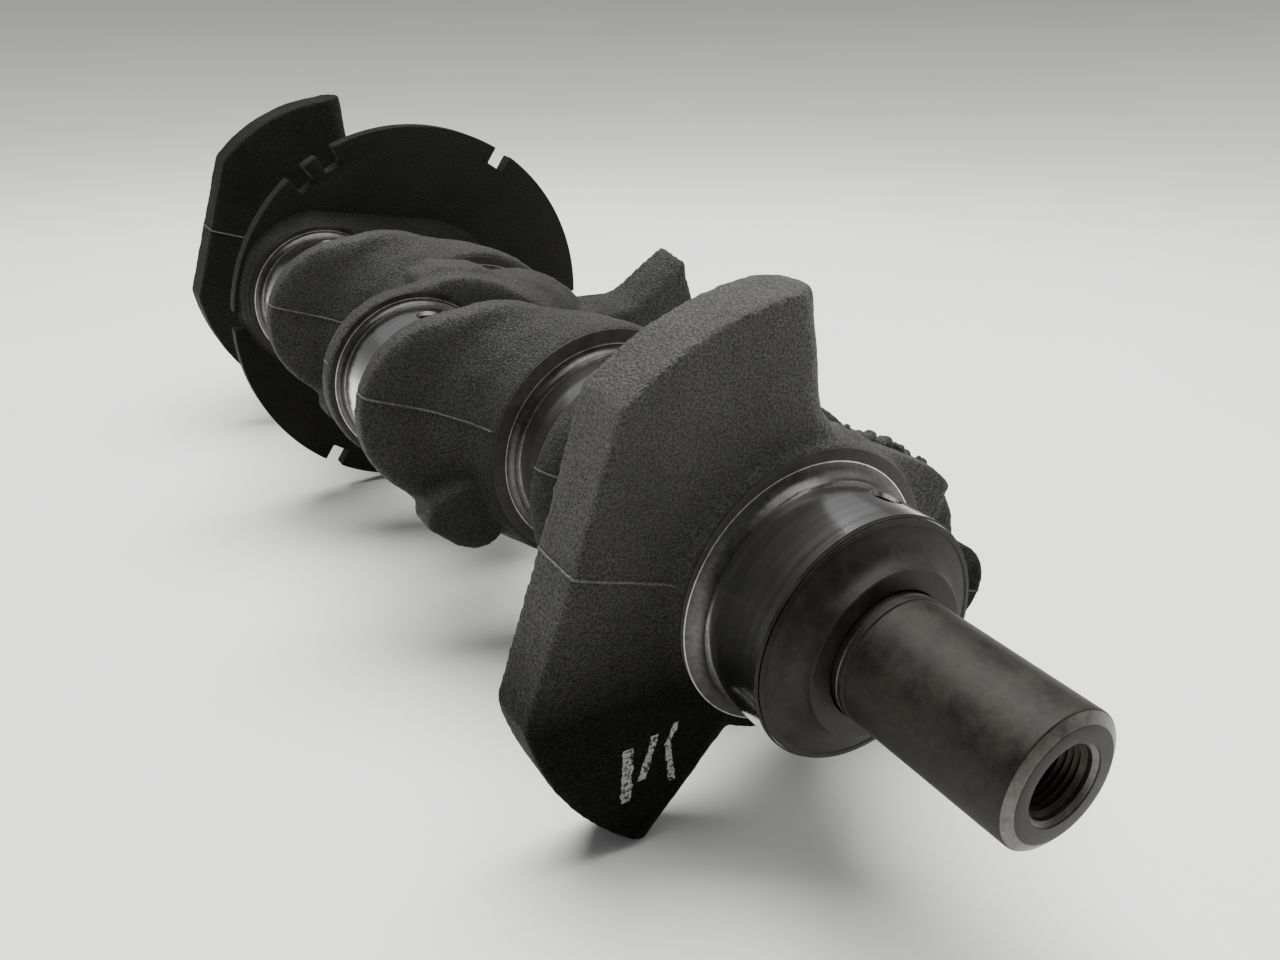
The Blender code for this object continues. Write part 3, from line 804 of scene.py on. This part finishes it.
def make_rear_end():
    low, high = span("rear_collar")
    rows = [
        (0.0, 0.0, 0),
        (36.4, 0.0, 1),
        (37.0, 0.5, 0),
        (37.0, 3.4, 0),
        (36.4, 4.1, 0),
        (36.4, high - low, 0),
        (0.0, high - low, 0),
    ]
    collar = lathe("rear_collar_turned", rows, shaft_at(low), TURNING)
    finish_piece(collar, "machined_iron", "rear_collar")
    low, high = span("rear_seal_land")
    length = high - low
    rows = [(0.0, 0.0, 0), (40.2, 0.0, 1), (41.0, 0.8, 0)]
    rows += [(41.0, 1.6 + (length - 3.2) * i / 4, 0) for i in range(5)]
    rows += [(41.0, length - 0.8, 1), (40.2, length, 3), (0.0, length, 3)]
    land = lathe("rear_seal_land_ground", rows, shaft_at(low), (GROUND, FILLET, RING, TURNED))
    start = low
    low, high = span("flywheel_flange")
    length = high - low
    rows = [
        (0.0, 0.0, 0),
        (38.6, 0.0, 0),
        (39.0, 0.9, 0),
        (39.5, 1.4, 0),
        (39.5, length - 1.0, 1),
        (38.6, length - 0.1, 0),
        (20.5, length - 0.1, 0),
        (20.2, length - 0.6, 0),
        (14.2, length - 0.6, 0),
        (13.9, length - 0.1, 0),
        (0.0, length - 0.1, 0),
    ]
    flange = lathe("flywheel_flange_turned", rows, shaft_at(low), TURNING)
    reach = high - start
    inner, outer = reach - 1.0, reach + 1.0
    pilot = [(0.0, -1.0, 0), (11.5, -1.0, 0), (11.5, inner, 1), (13.0, outer, 1), (0.0, outer, 0)]
    hole = [(0.0, -1.0, 2), (4.9, -1.0, 2), (4.9, inner, 1), (6.4, outer, 1), (0.0, outer, 2)]
    for item in (land, flange):
        bore(item, pilot, shaft_at(start), 64)
        for i in range(6):
            turn = math.tau * i / 6
            at = SHAFT @ Matrix.Translation((28.0 * math.cos(turn), 28.0 * math.sin(turn), start))
            bore(item, hole, at)
    finish_piece(land, "ground_steel", "rear_seal_land")
    finish_piece(flange, "machined_iron", "flywheel_flange")


# Castings


END_LAYERS = (
    (3.0, 5.5),
    (3.6, 3.6),
    (5.0, 1.8),
    (7.5, 0.4),
    (9.0, 0.0),
    (14.0, 0.0),
    (18.0, 1.4),
    (20.4, 4.0),
    (21.4, 6.0),
)
MIDDLE_LAYERS = ((4.9, 0.0), (8.0, 1.2), (12.0, 3.2), (15.0, 5.6), (16.4, 7.5))
END_EDGES = (
    ((22.8, 72.9, 3.0), (6.0, 41.6, 15.0), (-12.0, 40.0, 4.0), (-14.0, 22.0, 4.0)),
    ((18.5, 74.2, 3.0), (2.6, 38.4, 7.0), (-12.0, 37.0, 4.0), (-14.0, 20.0, 4.0)),
)
MIDDLE_EDGES = (
    ((49.0, 59.4, 1.2), (32.5, 38.4, 14.0), (14.0, 31.0, 6.0), (10.0, 18.0, 4.0)),
    ((67.4, 36.0, 3.0), (36.0, 27.0, 14.0), (16.0, 29.0, 6.0), (10.0, 18.0, 4.0)),
)
FRONT_BLOCK = (
    (0.0, -20.0),
    (0.0, -39.4, 8.0),
    (20.0, -37.4, 8.0),
    (36.0, -34.8, 8.0),
    (44.8, -31.0, 2.0),
    (44.8, -20.0),
)
FOOT = (
    (20.0, -22.0),
    (26.0, -37.0, 4.0),
    (32.0, -39.8, 5.0),
    (38.0, -39.2, 8.0),
    (49.6, -34.2, 3.0),
    (50.2, -26.0, 2.0),
    (40.0, -18.0),
)
SMALL_FOOT = (
    (14.0, -24.0),
    (18.0, -37.4, 6.0),
    (28.0, -38.4, 6.0),
    (42.0, -36.0, 5.0),
    (48.0, -30.6, 4.0),
    (46.0, -22.0),
    (28.0, -18.0),
)


FLASH = {
    1: (1.7, [(4.0, -39.2, 9.0), (16.0, -38.2, 12.0), (28.0, -36.4, 14.0), (42.0, -32.4, 15.0)]),
    4: (1.2, [(8.0, -37.6, 13.0), (-2.0, -36.6, 11.0)]),
    5: (1.5, [(10.0, 36.8, 12.0), (-4.0, 35.8, 11.0), (-16.0, 32.0, 9.0)]),
}


def make_webs():
    for number in (1, 2, 3, 4, 5, 7, 8):
        node = f"web_{number}"
        pin = f"crankpin_{(number + 1) // 2}"
        main = f"main_journal_{number // 2 + 1}"
        front, rear = (main, pin) if number % 2 else (pin, main)
        low, high = face(front, node), face(node, rear)
        place, thickness = web_frame(number, low, high)
        work = bmesh.new()
        web_body(work, WEB_ROWS, thickness)
        nodes = [node]
        if number in (1, 8):
            flat, rim = (65.6, (76.3, 0.0)) if number == 1 else (65.0, (75.8, -3.8))
            weight(work, *END_EDGES, flat, END_LAYERS, rim, 1.5)
            nodes.append(f"counterweight_{number}")
        elif number in (4, 5):
            weight(work, *MIDDLE_EDGES, None, MIDDLE_LAYERS)
            nodes.append(f"counterweight_{number}")
        if number == 1:
            boss(work, (61.4, 0.5), 13.4, 5.0, 22.0)
            slab(work, 5.0, 20.0, FRONT_BLOCK)
        elif number == 4:
            slab(work, 5.0, 18.0, SMALL_FOOT)
        else:
            slab(work, 5.0, 18.5, FOOT)
        # The skins carry painted shade: painted light above and deep shade below on the front web, and
        # darker rear webs all over.
        skin_finish = CAST_FRONT_CHALK_AND_PAINTED_SHADE if number == 1 else CAST_REAR_PAINTED_SHADE if number > 6 else CAST
        if number in FLASH:
            size, line = FLASH[number]
            flash(f"{node}_flash", number, line, size, place, skin_finish)
        item = casting(node + "_cast", work, place, (skin_finish,))
        finish_piece(item, "cast_iron", *nodes)
        line = parting_line(item, place, lambda at: 1.0 < at.z < thickness - 1.0)
        finish_piece(line, "cast_iron")


def make_disc():
    """The notched disc, the arm that joins it to pin 3 and the boss behind it."""
    low, high = face("web_6", "sensor_disc"), face("sensor_disc", "disc_boss")
    outline = []
    stops = sorted(NOTCH_ANGLES)
    half = math.degrees(math.asin(NOTCH_WIDTH / 2 / DISC_RADIUS))
    for angle, following in zip(stops, stops[1:] + [stops[0] + 360.0]):
        turn = math.radians(angle)
        for side in (-1, 1):
            across = side * NOTCH_WIDTH / 2
            x = NOTCH_FLOOR * math.cos(turn) - across * math.sin(turn)
            y = NOTCH_FLOOR * math.sin(turn) + across * math.cos(turn)
            outline.append((x, y))
        outline += arc(DISC_RADIUS, angle + half, following - half, 2.0)
    work = bmesh.new()
    slab(work, 0.0, high - low, outline)
    mesh = bpy.data.meshes.new("sensor_disc_cast")
    work.to_mesh(mesh)
    work.free()
    # The disc, its arm and its boss use the rear skin, painted darker all over as shade.
    disc = as_object("sensor_disc_cast", mesh, shaft_at(low), (CAST_REAR_PAINTED_SHADE,))
    modifier(disc, "BEVEL", width=0.5, segments=2, limit_method="ANGLE", angle_limit=math.radians(40))
    bake(disc)
    disc.data.set_sharp_from_angle(angle=math.radians(28.0))
    finish_piece(disc, "cast_iron", "sensor_disc")

    start = face("crankpin_3", "web_6")
    place, length = web_frame(5, start, low)
    work = bmesh.new()
    rings = []
    rows = (
        (0.0, 20.0, 28.0, THROW, PIN_BOSS),
        (3.0, 14.0, 31.0, THROW, PIN_BOSS),
        (6.0, 7.0, 34.5, THROW, 30.6),
        (8.6, 2.0, 36.4, 43.5, 31.0),
        (length - 0.6, 0.0, 38.0, 43.0, 31.8),
        (length + 1.6, -2.0, 40.8, 42.0, 34.4),
    )
    for depth, near, near_radius, far, far_radius in rows:
        rings.append(hull_ring([(near, 0.0, near_radius), (far, 0.0, far_radius)], depth, THROW_FLAT + 1.0))
    skin(work, rings)
    arm = casting("web_6_cast", work, place, (CAST_REAR_PAINTED_SHADE,))
    finish_piece(arm, "cast_iron", "web_6")

    end = face("disc_boss", "main_journal_4")
    work = bmesh.new()
    rings = []
    for depth, radius in ((-1.5, 42.0), (0.8, 40.6), (2.2, 39.4), (4.5, 38.6), (end - high - 0.2, 38.3)):
        rings.append(hull_ring([(0.0, 0.0, radius)], depth, 100.0))
    skin(work, rings)
    rear = casting("disc_boss_cast", work, shaft_at(high), (CAST_REAR_PAINTED_SHADE,))
    finish_piece(rear, "cast_iron", "disc_boss")


make_snout()
make_hub()
make_journals()
make_rear_end()
make_webs()
make_disc()


# Floor, light and camera


def make_floor():
    """A pale floor through the three places where the shaft rests on it, turned up far away."""
    touch = [Vector((-4.0, 347.0, -75.4)), Vector((27.3, 241.5, -71.2)), Vector((-45.0, 91.0, -62.0))]
    points = [Vector((x * MM, y * MM + snout_end, z * MM + crank_axis.z)) for x, y, z in touch]
    up = (points[1] - points[0]).cross(points[2] - points[0]).normalized()
    if up.z < 0:
        up.negate()
    profile = [(0.0, 0.0), (0.5, 0.0), (1.0, 0.0)]
    profile += [(1.0 + 3.0 * math.sin(a / 20), 3.0 - 3.0 * math.cos(a / 20)) for a in range(1, 23)]
    work = bmesh.new()
    rings = [[work.verts.new((0.0, 0.0, 0.0))]]
    for radius, height in profile[1:]:
        turns = [math.tau * i / 96 for i in range(96)]
        rings.append([work.verts.new((radius * math.cos(t), radius * math.sin(t), height)) for t in turns])
    for i in range(96):
        j = (i + 1) % 96
        work.faces.new((rings[0][0], rings[1][i], rings[1][j]))
        for inner, outer in zip(rings[1:], rings[2:]):
            work.faces.new((inner[i], outer[i], outer[j], inner[j]))
    mesh = bpy.data.meshes.new("floor")
    work.to_mesh(mesh)
    work.free()
    mesh.materials.append(floor_finish())
    mesh.shade_smooth()
    floor = bpy.data.objects.new("floor", mesh)
    bpy.context.scene.collection.objects.link(floor)
    turn = Vector((0, 0, 1)).rotation_difference(up).to_matrix().to_4x4()
    floor.matrix_world = Matrix.Translation(points[0] - up * 0.0004) @ turn


def area_light(name, place, aim, size, energy, colour=(1.0, 1.0, 1.0)):
    light = bpy.data.lights.new(name, "AREA")
    light.shape = "RECTANGLE"
    light.size, light.size_y = size
    light.energy = energy
    light.color = colour
    item = bpy.data.objects.new(name, light)
    bpy.context.scene.collection.objects.link(item)
    item.location = place
    item.rotation_euler = (Vector(aim) - Vector(place)).to_track_quat("-Z", "Y").to_euler()


def make_camera():
    right = Vector((0.8584, -0.5129, 0.0))
    up = Vector((0.2281, 0.3817, 0.8957))
    camera = bpy.data.cameras.new("camera")
    camera.lens = 31.57
    camera.sensor_width = 36.0
    camera.clip_start = 0.01
    item = bpy.data.objects.new("camera", camera)
    bpy.context.scene.collection.objects.link(item)
    turn = Matrix((right, up, right.cross(up))).transposed().to_4x4()
    item.matrix_world = Matrix.Translation((-0.1552, -0.3535, 0.2235)) @ turn
    bpy.context.scene.camera = item


def make_world():
    world = bpy.data.worlds.new("studio")
    world.use_nodes = True
    world.node_tree.nodes["Background"].inputs["Color"].default_value = (0.80, 0.81, 0.83, 1.0)
    world.node_tree.nodes["Background"].inputs["Strength"].default_value = 0.3
    bpy.context.scene.world = world


make_floor()
make_world()
make_camera()
area_light("overhead", (0.15, 0.25, 1.5), (0.0, 0.05, 0.0), (1.6, 1.2), 68.0)
area_light("side", (1.6, -0.4, 0.9), (0.0, 0.0, 0.05), (1.0, 1.0), 9.0)
